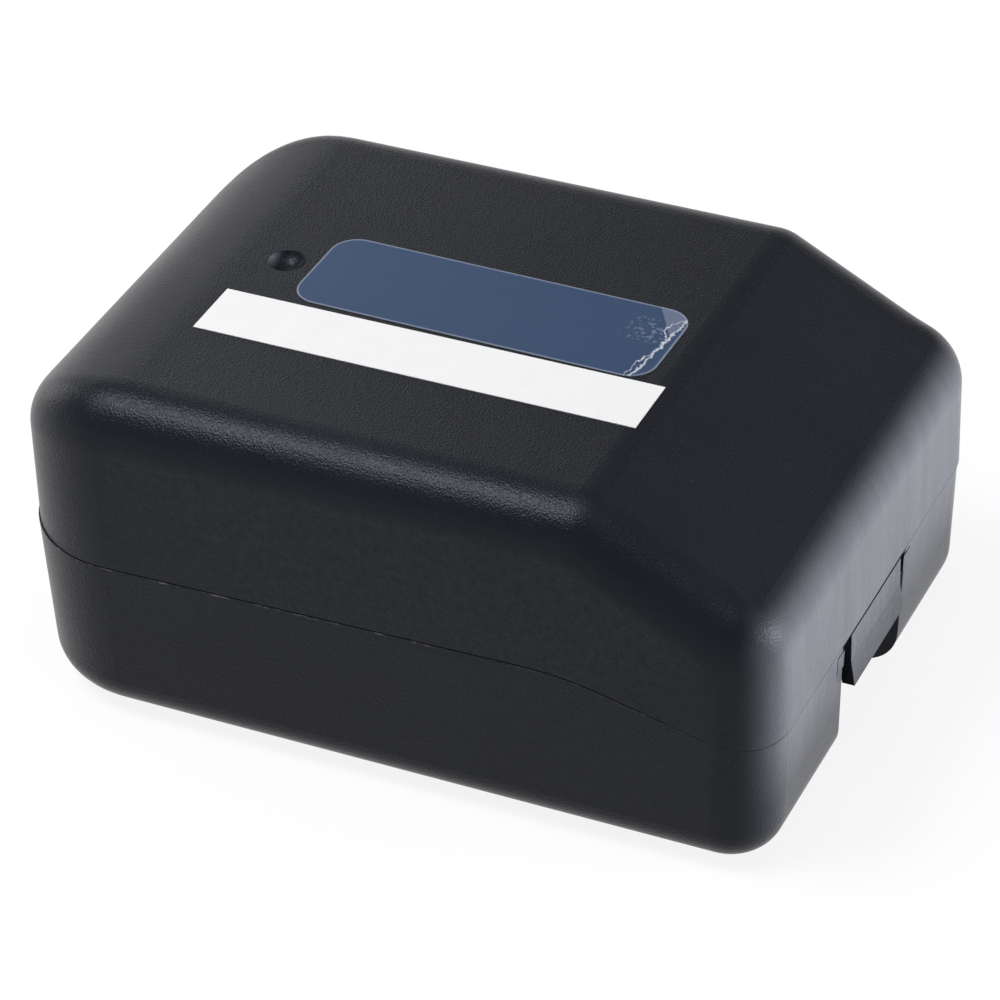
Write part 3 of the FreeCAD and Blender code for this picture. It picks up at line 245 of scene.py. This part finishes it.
def build_nose_sheen():
    """A painted pale sheen on faces that look along +X, broken into upright rub marks and thinning out
    downwards.
    """
    group, into, out = new_group("nose_sheen_and_rubs", [("Vector", "NodeSocketVector", None),
                                               ("Normal", "NodeSocketVector", None)],
                                 [("Painted sheen and rubs", "NodeSocketFloat")])
    facing = new_node(group, "ShaderNodeSeparateXYZ")
    wire(group, into.outputs["Normal"], facing.inputs["Vector"])
    place = new_node(group, "ShaderNodeSeparateXYZ")
    wire(group, into.outputs["Vector"], place.inputs["Vector"])
    upright = stretched(group, into.outputs["Vector"], (60.0, 260.0, 42.0))
    streaks = span(group, noise(group, upright, 1.0, 4.0, 0.6), 0.30, 0.72, 0.74, 1.0)
    frontal = calculate(group, "POWER", span(group, facing.outputs["X"], 0.40, 1.0), 2.2)
    faint_below, full_above, least = 0.009, 0.019, 0.28
    height = span(group, place.outputs["Z"], faint_below, full_above, least, 1.0)
    wire(group, calculate(group, "MULTIPLY", calculate(group, "MULTIPLY", frontal, height), streaks),
         out.inputs["Painted sheen and rubs"])
    return group


# The seam between cover and base, in metres: it rises from the rear to a crest and falls towards the nose.
SEAM_REAR, SEAM_CREST, SEAM_FRONT = -0.050, 0.0244, 0.048
SEAM_LOW, SEAM_HIGH, SEAM_DROP = 0.02278, 0.02405, 0.00555


def build_seam_highlight_and_shade():
    """A painted highlight along the rim where the cover meets the base, in pale dashes that die out to the
    front.

    The painted gap shade is a dark line across the nose, in the middle of the gap above the rim, painted
    where the gap falls in shade.
    """
    group, into, out = new_group("seam_highlight_and_shade", [("Vector", "NodeSocketVector", None),
                                               ("Normal", "NodeSocketVector", None)],
                                 [("Painted rim highlight", "NodeSocketFloat"), ("Painted gap shade", "NodeSocketFloat")])
    facing = new_node(group, "ShaderNodeSeparateXYZ")
    wire(group, into.outputs["Normal"], facing.inputs["Vector"])
    upright = span(group, calculate(group, "ABSOLUTE", facing.outputs["Z"]), 0.50, 0.25)
    place = new_node(group, "ShaderNodeSeparateXYZ")
    wire(group, into.outputs["Vector"], place.inputs["Vector"])
    rising = span(group, place.outputs["X"], SEAM_REAR, SEAM_CREST, SEAM_LOW, SEAM_HIGH)
    falling = span(group, place.outputs["X"], SEAM_CREST, SEAM_FRONT, 0.0, SEAM_DROP)
    line = calculate(group, "SUBTRACT", rising, falling)
    over = calculate(group, "SUBTRACT", place.outputs["Z"], line)
    away = calculate(group, "ABSOLUTE", over)
    dashes = noise(group, stretched(group, into.outputs["Vector"], (420.0, 420.0, 1400.0)), 1.0, 4.0, 0.7)
    kept = calculate(group, "MULTIPLY", span(group, dashes, 0.52, 0.66),
                     span(group, place.outputs["X"], 0.030, -0.010, 0.25, 1.0))
    # Painted shade: a dark line in the middle of the seam gap across the nose, on faces that look along +X.
    gap_middle = 0.00014
    packed = calculate(group, "ABSOLUTE", calculate(group, "SUBTRACT", over, gap_middle))
    wire(group, calculate(group, "MULTIPLY", span(group, packed, 0.00016, 0.00008),
                          span(group, facing.outputs["X"], 0.15, 0.45)), out.inputs["Painted gap shade"])
    # Painted highlight: pale dashes on upright faces along the seam rim.
    beside = calculate(group, "MULTIPLY", upright, span(group, away, 0.00026, 0.00010))
    wire(group, calculate(group, "MULTIPLY", kept, beside), out.inputs["Painted rim highlight"])
    return group


NOSE_SHEEN_AND_RUBS, SEAM_HIGHLIGHT_AND_SHADE = build_nose_sheen(), build_seam_highlight_and_shade()


FLECK_COLOUR = (0.42, 0.42, 0.43)
# Colour of the painted highlight dashes along the seam rim.
PAINTED_RIM_HIGHLIGHT_COLOUR = (0.36, 0.36, 0.36)
# Colour of the painted dark shade line in the seam gap.
PAINTED_GAP_SHADE_COLOUR = (0.002, 0.002, 0.002)
# Colour of the painted pale sheen on the nose.
NOSE_SHEEN_COLOUR = (0.46, 0.48, 0.57)


def moulded(name, colour, pale, rough, depth=0.00003, bumps=2300.0, dusty=1.0, sheen_amount=0.0, specular=0.5,
            tint=(1.0, 1.0, 1.0)):
    """Textured plastic: grain, hand marks that dull it, scuffed edges with a painted edge highlight, and
    pale flecks.

    With a sheen amount it is the casing, which also has a painted pale sheen with upright rub marks on its
    nose, and along its seam a painted highlight on the rim and a painted dark shade line in the gap across
    the nose.
    """
    material, tree, shader, place = start(name)
    grain = use(tree, GRAIN, Vector=place, Bumps_per_metre=bumps)
    dust = use(tree, DUST, Vector=place)
    edge = new_node(tree, "ShaderNodeNewGeometry").outputs["Pointiness"]
    worn_and_highlit = use(tree, EDGE_WEAR_AND_HIGHLIGHT, Vector=place, Edge=edge)
    slow = span(tree, noise(tree, place, 45.0, 3.0), 0.3, 0.7)
    shader.inputs["Specular IOR Level"].default_value = specular
    shader.inputs["Specular Tint"].default_value = (*tint, 1.0)
    base = mixed(tree, slow, colour, tuple(1.16 * c for c in colour))
    if sheen_amount:
        coordinates = new_node(tree, "ShaderNodeTexCoord")
        # Painted pale sheen on the nose's +X faces, broken into upright rub marks.
        nose_sheen_mask = use(tree, NOSE_SHEEN_AND_RUBS, Vector=place, Normal=coordinates.outputs["Normal"])
        base = mixed(tree, calculate(tree, "MULTIPLY", nose_sheen_mask.outputs["Painted sheen and rubs"], sheen_amount), base, NOSE_SHEEN_COLOUR)
        painted_seam_marks = use(tree, SEAM_HIGHLIGHT_AND_SHADE, Vector=place, Normal=coordinates.outputs["Normal"])
        # Painted highlight along the seam rim.
        base = mixed(tree, calculate(tree, "MULTIPLY", painted_seam_marks.outputs["Painted rim highlight"], 0.55), base, PAINTED_RIM_HIGHLIGHT_COLOUR)
        # Painted shade line in the seam gap across the nose.
        base = mixed(tree, calculate(tree, "MULTIPLY", painted_seam_marks.outputs["Painted gap shade"], 0.92), base, PAINTED_GAP_SHADE_COLOUR)
    marked = mixed(tree, calculate(tree, "MULTIPLY", dust.outputs["Marks"], 0.22 * dusty), base, pale)
    # Paler convex edges: wear, and a painted edge highlight.
    scuffed_and_highlit = mixed(tree, calculate(tree, "MULTIPLY", worn_and_highlit.outputs["Worn and highlit"], 0.35), marked, pale)
    flecked = mixed(tree, calculate(tree, "MULTIPLY", dust.outputs["Flecks"], 0.6 * dusty), scuffed_and_highlit,
                    FLECK_COLOUR)
    wire(tree, flecked, shader.inputs["Base Color"])
    uneven = calculate(tree, "MULTIPLY_ADD", slow, 0.06, rough - 0.03)
    wire(tree, calculate(tree, "MULTIPLY_ADD", dust.outputs["Marks"], 0.10 * dusty, uneven),
         shader.inputs["Roughness"])
    bump(tree, shader, grain.outputs["Height"], depth)
    return material


def metal(name, colour, rough, lines=0.12, depth=0.000004, metallic=1.0):
    """Ground or blasted metal: fine lines, slow staining and brighter edges, partly wear and partly a
    painted edge highlight.
    """
    material, tree, shader, place = start(name)
    brushed = use(tree, BRUSHED, Vector=place)
    edge = new_node(tree, "ShaderNodeNewGeometry").outputs["Pointiness"]
    worn_and_highlit = use(tree, EDGE_WEAR_AND_HIGHLIGHT, Vector=place, Edge=edge)
    stain = span(tree, noise(tree, place, 160.0, 4.0, 0.6), 0.3, 0.75)
    base = mixed(tree, stain, tuple(0.82 * c for c in colour), colour)
    # Brighter convex edges: wear, and a painted edge highlight.
    bright = tuple(min(1.0, 1.35 * c + 0.05) for c in colour)
    wire(tree, mixed(tree, calculate(tree, "MULTIPLY", worn_and_highlit.outputs["Worn and highlit"], 0.7), base, bright),
         shader.inputs["Base Color"])
    shader.inputs["Metallic"].default_value = metallic
    along = calculate(tree, "MULTIPLY_ADD", brushed.outputs["Lines"], lines, rough - lines / 2)
    wire(tree, along, shader.inputs["Roughness"])
    bump(tree, shader, brushed.outputs["Lines"], depth)
    return material


def soft(name, colour, rough):
    """Elastomer with a faint skin texture and dust."""
    return moulded(name, colour, (0.16, 0.16, 0.16), rough, 0.000012, 3600.0, 0.5)


# The casing carries the painted nose sheen, the painted seam highlight and the painted seam shade.
casing = moulded("satin_black_moulding", (0.0112, 0.0120, 0.0158), (0.045, 0.048, 0.057), 0.30,
                 depth=0.000045, bumps=4000.0, dusty=0.3, sheen_amount=0.57, specular=0.16, tint=(0.80, 0.85, 1.0))
finishes = {
    "casing_plastic": casing,
    "foot_rubber": soft("foot_rubber", (0.020, 0.020, 0.021), 0.80),
    "pad_rubber": soft("clamp_pad_rubber", (0.030, 0.030, 0.034), 0.62),
    "deck_alloy": metal("blasted_clear_alloy", (0.62, 0.63, 0.65), 0.40),
    "clamp_alloy": metal("black_anodised_alloy", (0.035, 0.035, 0.040), 0.42, metallic=0.55),
    "machined_steel": metal("ground_steel", (0.56, 0.56, 0.57), 0.26),
    "screw_steel": metal("black_oxide_steel", (0.075, 0.075, 0.080), 0.38),
    "blade_carbide": metal("lapped_carbide", (0.40, 0.40, 0.43), 0.15, 0.05),
    "bush_bronze": metal("sintered_bronze", (0.56, 0.37, 0.18), 0.42),
    "knob_plastic": moulded("blue_knob_plastic", (0.012, 0.060, 0.210), (0.10, 0.16, 0.30), 0.36, 0.000015),
    "bin_plastic": moulded("bin_plastic", (0.045, 0.045, 0.050), (0.12, 0.12, 0.13), 0.50, 0.00002),
    "spring_steel": metal("drawn_wire", (0.50, 0.50, 0.50), 0.28),
    "magnet_nickel": metal("nickel_plate", (0.66, 0.65, 0.62), 0.16, 0.04),
}


def label_place(tree, place, centre, turn):
    """Position on a label in millimetres, from its own centre and along its own length."""
    made = new_node(tree, "ShaderNodeMapping", vector_type="TEXTURE")
    made.inputs["Location"].default_value = centre
    made.inputs["Rotation"].default_value = (0.0, 0.0, turn)
    made.inputs["Scale"].default_value = (MM, MM, MM)
    wire(tree, place, made.inputs["Vector"])
    parts = new_node(tree, "ShaderNodeSeparateXYZ")
    wire(tree, made.outputs["Vector"], parts.inputs["Vector"])
    return made.outputs["Vector"], parts.outputs["X"], parts.outputs["Y"]


def blue_laminate():
    """Blue print under clear film, which has a pale cut rim and is torn and creased at the front end.

    Lengths on the label are in millimetres.
    """
    material, tree, shader, place = start("blue_laminate")
    low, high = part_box("name_label")
    centre = ((low.x + high.x) / 2, (low.y + high.y) / 2, high.z)
    at, along, across = label_place(tree, place, centre, math.radians(-0.8))
    shader.inputs["Specular IOR Level"].default_value = 0.30
    half_long, half_wide, corner = 23.55, 7.6, 3.4

    def past(value, half):
        return calculate(tree, "MAXIMUM", calculate(tree, "SUBTRACT", calculate(tree, "ABSOLUTE", value),
                                                    half - corner), 0.0)

    reach = calculate(tree, "SQRT", calculate(
        tree, "ADD", calculate(tree, "POWER", past(along, half_long), 2.0),
        calculate(tree, "POWER", past(across, half_wide), 2.0)))
    rim = span(tree, calculate(tree, "SUBTRACT", corner, reach), 0.30, 0.10)
    mottle = noise(tree, at, 5.0, 3.0, 0.6)
    field = mixed(tree, mottle, (0.023, 0.050, 0.112), (0.031, 0.063, 0.136))
    tear_lean, tear_at, tear_wander = 0.12, 22.3, 1.5
    wander = calculate(tree, "MULTIPLY_ADD", noise(tree, at, 0.9, 3.0, 0.6), tear_wander, -tear_wander / 2)
    tear_line = calculate(tree, "ADD", calculate(tree, "MULTIPLY_ADD", across, tear_lean, tear_at), wander)

    def strand(offset, width):
        """A white crease that runs beside the tear."""
        away = calculate(tree, "SUBTRACT", along, calculate(tree, "ADD", tear_line, offset))
        return span(tree, calculate(tree, "ABSOLUTE", away), width, 0.3 * width)

    bulge = calculate(tree, "MULTIPLY", span(tree, across, 6.2, 4.6), span(tree, across, 1.0, 2.8))
    loop_strand = calculate(tree, "MULTIPLY", strand(calculate(tree, "MULTIPLY", bulge, -1.3), 0.16),
                            span(tree, across, 0.8, 1.4))
    fork_strand = calculate(tree, "MULTIPLY", strand(span(tree, across, -1.0, -4.2, 0.0, -0.8), 0.12),
                            span(tree, across, -0.6, -1.2))
    strands = calculate(tree, "MAXIMUM", loop_strand, fork_strand)
    crease = calculate(tree, "MAXIMUM", strand(0.0, 0.24), strands)
    inside = calculate(tree, "LESS_THAN", along, tear_line)
    corner_film = span(tree, calculate(tree, "MULTIPLY_ADD", across, 0.62, along), 23.6, 23.8)
    upper = calculate(tree, "MULTIPLY", span(tree, across, -0.4, 0.4), span(tree, along, 16.0, 18.5))
    specks = calculate(tree, "GREATER_THAN", noise(tree, at, 1.5, 2.0, 0.55), 0.56)
    flakes = calculate(tree, "MULTIPLY", calculate(tree, "MULTIPLY", specks, upper),
                       calculate(tree, "LESS_THAN", across, 5.0))
    film = calculate(tree, "MULTIPLY", calculate(tree, "MAXIMUM", corner_film, flakes), inside)
    hazed = mixed(tree, calculate(tree, "MULTIPLY", film, 0.34), field, (0.30, 0.34, 0.44))
    torn = mixed(tree, calculate(tree, "MULTIPLY", crease, 0.85), hazed, (0.62, 0.66, 0.74))
    edged = mixed(tree, calculate(tree, "MULTIPLY", rim, 0.55), torn, (0.34, 0.38, 0.46))
    dust = use(tree, DUST, Vector=place, Flecks_per_metre=900.0, Fleck_size=0.05)
    flecks = calculate(tree, "MULTIPLY", dust.outputs["Flecks"], 0.5)
    wire(tree, mixed(tree, flecks, edged, (0.55, 0.57, 0.62)), shader.inputs["Base Color"])
    dulled = calculate(tree, "MAXIMUM", crease, dust.outputs["Marks"])
    wire(tree, calculate(tree, "MULTIPLY_ADD", dulled, 0.20, 0.40), shader.inputs["Roughness"])
    bump(tree, shader, calculate(tree, "ADD", crease, calculate(tree, "MULTIPLY", film, 0.4)), 0.00012)
    return material


def white_tape():
    """Matt coated tape with slow unevenness and a few grey flecks."""
    material, tree, shader, place = start("white_tape")
    slow = noise(tree, place, 260.0, 4.0, 0.6)
    dust = use(tree, DUST, Vector=place, Flecks_per_metre=700.0, Fleck_size=0.03)
    base = mixed(tree, slow, (0.80, 0.80, 0.81), (0.86, 0.86, 0.87))
    flecks = calculate(tree, "MULTIPLY", dust.outputs["Flecks"], 0.35)
    wire(tree, mixed(tree, flecks, base, (0.45, 0.44, 0.43)), shader.inputs["Base Color"])
    shader.inputs["Roughness"].default_value = 0.62
    bump(tree, shader, noise(tree, place, 3800.0, 2.0), 0.000004)
    return material


finishes["label_blue"] = blue_laminate()
finishes["label_white"] = white_tape()

slot_of = {row["node"]: row["material_slot"] for row in frame["record"]["subparts"]}
for name, piece in nodes.items():
    piece.data.materials.clear()
    piece.data.materials.append(finishes[slot_of[name]])


# ---- springs ---------------------------------------------------------------------------------

WELD = 0.002 * MM


def working_spring(name, node, body):
    """A coil of the CAD spring's own shape, with doubled points welded and faces smoothed, in drawn wire,
    riding with its body in place of the hidden CAD spring.
    """
    coil = bpy.data.objects.new(name, nodes[node].data.copy())
    bpy.context.scene.collection.objects.link(coil)
    bpy.ops.object.select_all(action="DESELECT")
    coil.select_set(True)
    bpy.context.view_layer.objects.active = coil
    bpy.ops.object.mode_set(mode="EDIT")
    bpy.ops.mesh.select_all(action="SELECT")
    bpy.ops.mesh.remove_doubles(threshold=WELD)
    bpy.ops.object.mode_set(mode="OBJECT")
    bpy.ops.object.shade_smooth_by_angle(angle=math.radians(40))
    coil.data.materials.clear()
    coil.data.materials.append(finishes["spring_steel"])
    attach(coil, body)
    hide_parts(node)
    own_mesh(coil)
    coil.select_set(False)


working_spring("carriage_coil", "carriage_spring", "base")
working_spring("anvil_coil", "anvil_spring", "clamp")
working_spring("latch_coil", "latch_spring", "base")


# ---- floor, lamps and camera -----------------------------------------------------------------

def sees_background(tree):
    """One where a ray shows the background: straight to the camera, or by way of gloss, metal or glass."""
    path = new_node(tree, "ShaderNodeLightPath")
    by_gloss, by_glass = path.outputs["Is Glossy Ray"], path.outputs["Is Transmission Ray"]
    mirrored = calculate(tree, "MAXIMUM", by_gloss, by_glass)
    return path, calculate(tree, "MAXIMUM", path.outputs["Is Camera Ray"], mirrored)


def floor():
    """A pale floor that reads white to the camera and in reflections, and keeps the shadow.

    Most of the white is its own, and the rest is lit, which is where the shadow shows.
    """
    bpy.ops.mesh.primitive_plane_add(size=6.0, location=(0, 0, 0))
    sheet = bpy.context.object
    sheet.name = "floor"
    material, tree, shader, _ = start("pale_floor")
    shader.inputs["Base Color"].default_value = (0.46, 0.46, 0.47, 1.0)
    shader.inputs["Roughness"].default_value = 0.95
    _, background = sees_background(tree)
    white = new_node(tree, "ShaderNodeEmission")
    lit = new_node(tree, "ShaderNodeBsdfDiffuse")
    lit.inputs["Color"].default_value = (1.0, 1.0, 1.0, 1.0)
    paper = new_node(tree, "ShaderNodeMixShader")
    own_white = 0.88
    paper.inputs["Fac"].default_value = own_white
    wire(tree, lit.outputs["BSDF"], paper.inputs[1])
    wire(tree, white.outputs["Emission"], paper.inputs[2])
    choose = new_node(tree, "ShaderNodeMixShader")
    wire(tree, background, choose.inputs["Fac"])
    wire(tree, shader.outputs["BSDF"], choose.inputs[1])
    wire(tree, paper.outputs["Shader"], choose.inputs[2])
    wire(tree, choose.outputs["Shader"], tree.nodes["Material Output"].inputs["Surface"])
    sheet.data.materials.append(material)
    bpy.ops.object.select_all(action="DESELECT")


def lamp(name, at, size, power):
    """A rectangular lamp aimed at the middle of the case, in metres and watts."""
    data = bpy.data.lights.new(name, "AREA")
    data.shape = "RECTANGLE"
    data.size, data.size_y = size
    data.energy = power
    case_middle = Vector((0, 0, 0.02))
    made = bpy.data.objects.new(name, data)
    made.location = at
    made.rotation_mode = "QUATERNION"
    made.rotation_quaternion = (case_middle - Vector(at)).to_track_quat("-Z", "Y")
    bpy.context.scene.collection.objects.link(made)


def world():
    """A dim room with a white background, which reflections lose towards a darker ceiling."""
    made = bpy.data.worlds.new("room")
    made.use_nodes = True
    tree = made.node_tree
    tree.nodes.clear()
    path, background = sees_background(tree)
    dim = new_node(tree, "ShaderNodeBackground")
    dim.inputs["Color"].default_value = (1.0, 1.0, 1.0, 1.0)
    dim.inputs["Strength"].default_value = 0.07
    parts = new_node(tree, "ShaderNodeSeparateXYZ")
    wire(tree, new_node(tree, "ShaderNodeTexCoord").outputs["Generated"], parts.inputs["Vector"])
    wall_top, ceiling_edge, ceiling_light = 0.10, 0.42, 0.22
    ceiling = span(tree, parts.outputs["Z"], wall_top, ceiling_edge, 1.0, ceiling_light)
    white = new_node(tree, "ShaderNodeBackground")
    wire(tree, calculate(tree, "MAXIMUM", ceiling, path.outputs["Is Camera Ray"]), white.inputs["Strength"])
    mix = new_node(tree, "ShaderNodeMixShader")
    out = new_node(tree, "ShaderNodeOutputWorld")
    wire(tree, background, mix.inputs["Fac"])
    wire(tree, dim.outputs["Background"], mix.inputs[1])
    wire(tree, white.outputs["Background"], mix.inputs[2])
    wire(tree, mix.outputs["Shader"], out.inputs["Surface"])
    bpy.context.scene.world = made


def camera():
    """Stands at the measured viewpoint: angles in radians, and distances and lens in millimetres."""
    azimuth, elevation, roll = 0.444299, 0.616743, -0.034790
    lens, sensor = 160.9635924, 36.0
    aim = Vector((0.0, 0.0, 25.6))
    offset = Vector((-0.89565, 5.29575, 546.04012))
    level = math.cos(elevation)
    back = Vector((math.sin(azimuth) * level, -math.cos(azimuth) * level, math.sin(elevation)))
    right = Vector((math.cos(azimuth), math.sin(azimuth), 0.0))
    up = back.cross(right)
    across = math.cos(roll) * right + math.sin(roll) * up
    above = -math.sin(roll) * right + math.cos(roll) * up
    eye = aim - (across * offset.x + above * offset.y - back * offset.z)
    data = bpy.data.cameras.new("viewpoint")
    data.sensor_width = sensor
    data.lens = lens
    data.clip_start, data.clip_end = 0.01, 20.0
    made = bpy.data.objects.new("viewpoint", data)
    turn = Matrix((across, above, back)).transposed().to_4x4()
    made.matrix_world = Matrix.Translation(eye * MM) @ turn
    bpy.context.scene.collection.objects.link(made)
    bpy.context.scene.camera = made


floor()
world()
lamp("overhead_softbox", (-0.36, -0.25, 0.92), (0.43, 0.38), 8.0)
lamp("crease_softbox", (0.12, -0.12, 0.98), (0.30, 0.44), 1.4)
lamp("rear_softbox", (-0.62, 0.70, 0.56), (0.40, 0.40), 0.85)
lamp("nose_softbox", (1.15, 0.36, 0.24), (0.60, 0.40), 9.6)
lamp("left_strip", (-0.92, 0.30, 0.26), (0.28, 0.55), 1.0)
camera()
bpy.context.scene.view_settings.view_transform = "Standard"
